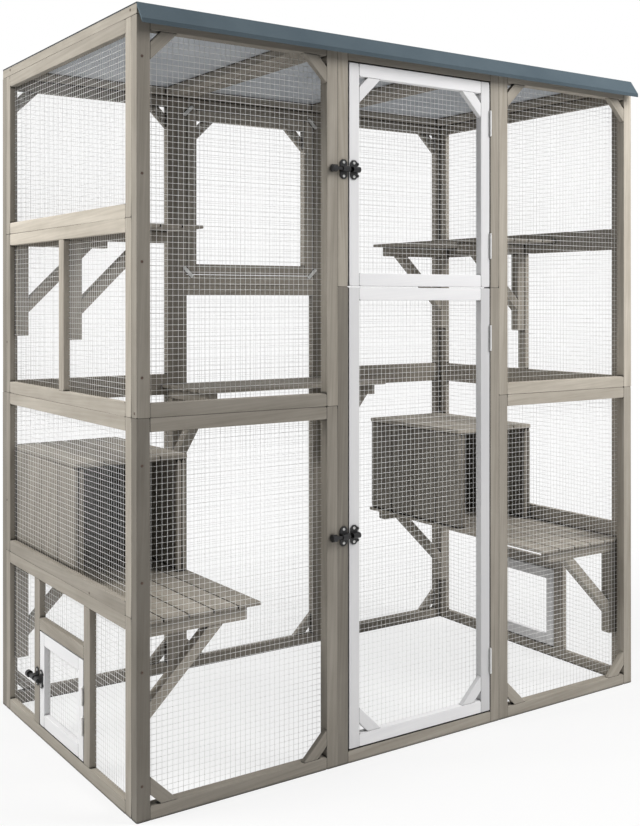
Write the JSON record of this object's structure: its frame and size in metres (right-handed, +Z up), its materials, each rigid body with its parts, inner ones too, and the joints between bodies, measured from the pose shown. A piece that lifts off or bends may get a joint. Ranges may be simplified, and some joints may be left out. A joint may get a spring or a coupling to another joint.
{
  "type": "outdoor cat enclosure",
  "caption": "Tall outdoor cat enclosure of timber frame panels with wire mesh, stacked doors, side pet doors, slatted platforms, perches and plank houses under a flat roof.",
  "frame": {"origin": "middle of the whole part's footprint box, at ground level", "axes": "+Z up, -Y out of the front doors, +X to the right for someone who looks at the doors"},
  "size_m": [1.539, 0.915, 1.715],
  "materials": {
    "stained_wood": "matte grey-brown stain",
    "white_wood": "satin white paint",
    "wire_mesh": "galvanised",
    "roof_sheet": "matte slate",
    "hinge_metal": "white",
    "latch_metal": "black",
    "clip_metal": "zinc plated"
  },
  "bodies": {
    "frame": {"back_brackets": "stained_wood", "back_centre_frames": "stained_wood", "back_left_frames": "stained_wood", "back_nets": "wire_mesh", "back_perch_slats": "stained_wood", "back_right_frames": "stained_wood", "clip_pins": "clip_metal", "door_jambs": "stained_wood", "fixed_hinge_leaves": "hinge_metal", "front_left_frames": "stained_wood", "front_nets": "wire_mesh", "front_right_frames": "stained_wood", "latch_housings": "latch_metal", "left_bottom_frame": "stained_wood", "left_brackets": "stained_wood", "left_house_lid": "stained_wood", "left_house_walls": "stained_wood", "left_nets": "wire_mesh", "left_perch_slats": "stained_wood", "left_platform_slats": "stained_wood", "left_upper_frames": "stained_wood", "right_bottom_frame": "stained_wood", "right_brackets": "stained_wood", "right_house_lid": "stained_wood", "right_house_walls": "stained_wood", "right_nets": "wire_mesh", "right_perch_slats": "stained_wood", "right_platform_slats": "stained_wood", "right_upper_frames": "stained_wood", "roof_flap": "roof_sheet", "roof_frames": "stained_wood", "roof_sheet": "roof_sheet", "window_frame": "stained_wood", "window_net": "wire_mesh"},
    "upper_door": {"upper_door_frame": "white_wood", "upper_door_net": "wire_mesh", "upper_door_hinge_leaves": "hinge_metal", "upper_door_latch_keeper": "latch_metal"},
    "lower_door": {"lower_door_frame": "white_wood", "lower_door_net": "wire_mesh", "lower_door_hinge_leaves": "hinge_metal", "lower_door_latch_keeper": "latch_metal"},
    "left_pet_door": {"left_pet_door_frame": "white_wood", "left_pet_door_net": "wire_mesh", "left_pet_door_hinge_leaves": "hinge_metal", "left_pet_door_latch_keeper": "latch_metal"},
    "right_pet_door": {"right_pet_door_frame": "white_wood", "right_pet_door_net": "wire_mesh", "right_pet_door_hinge_leaves": "hinge_metal", "right_pet_door_latch_keeper": "latch_metal"},
    "upper_door_bolt": {"upper_door_latch_bolt": "latch_metal"},
    "lower_door_bolt": {"lower_door_latch_bolt": "latch_metal"},
    "left_pet_door_bolt": {"left_pet_door_latch_bolt": "latch_metal"},
    "right_pet_door_bolt": {"right_pet_door_latch_bolt": "latch_metal"},
    "top_left_clip": {"top_left_clip": "clip_metal"},
    "top_right_clip": {"top_right_clip": "clip_metal"},
    "bottom_left_clip": {"bottom_left_clip": "clip_metal"},
    "bottom_right_clip": {"bottom_right_clip": "clip_metal"}
  },
  "joints": [
    {"name": "upper_door_hinge", "type": "hinge", "parent": "frame", "child": "upper_door", "pos_m": [0.2195, -0.4333, 1.38975], "axis": [0, 0, 1], "range_deg": [0, 170]},
    {"name": "lower_door_hinge", "type": "hinge", "parent": "frame", "child": "lower_door", "pos_m": [0.2195, -0.4333, 0.57775], "axis": [0, 0, 1], "range_deg": [0, 170]},
    {"name": "left_pet_door_hinge", "type": "hinge", "parent": "frame", "child": "left_pet_door", "pos_m": [-0.7528, -0.13025, 0.149], "axis": [0, 0, 1], "range_deg": [0, 170]},
    {"name": "right_pet_door_hinge", "type": "hinge", "parent": "frame", "child": "right_pet_door", "pos_m": [0.7528, -0.13025, 0.149], "axis": [0, 0, -1], "range_deg": [0, 170]},
    {"name": "upper_door_bolt_slide", "type": "slide", "parent": "frame", "child": "upper_door_bolt", "axis": [1, 0, 0], "range_m": [0, 0.016]},
    {"name": "lower_door_bolt_slide", "type": "slide", "parent": "frame", "child": "lower_door_bolt", "axis": [1, 0, 0], "range_m": [0, 0.016]},
    {"name": "left_pet_door_bolt_slide", "type": "slide", "parent": "frame", "child": "left_pet_door_bolt", "axis": [0, -1, 0], "range_m": [0, 0.016]},
    {"name": "right_pet_door_bolt_slide", "type": "slide", "parent": "frame", "child": "right_pet_door_bolt", "axis": [0, -1, 0], "range_m": [0, 0.016]},
    {"name": "top_left_clip_turn", "type": "hinge", "parent": "frame", "child": "top_left_clip", "pos_m": [-0.2265, 0.4292, 1.641], "axis": [0, -1, 0], "range_deg": [0, 90]},
    {"name": "top_right_clip_turn", "type": "hinge", "parent": "frame", "child": "top_right_clip", "pos_m": [0.2265, 0.4292, 1.641], "axis": [0, 1, 0], "range_deg": [0, 90]},
    {"name": "bottom_left_clip_turn", "type": "hinge", "parent": "frame", "child": "bottom_left_clip", "pos_m": [-0.2265, 0.4292, 1.186], "axis": [0, 1, 0], "range_deg": [0, 90]},
    {"name": "bottom_right_clip_turn", "type": "hinge", "parent": "frame", "child": "bottom_right_clip", "pos_m": [0.2265, 0.4292, 1.186], "axis": [0, -1, 0], "range_deg": [0, 90]}
  ]
}
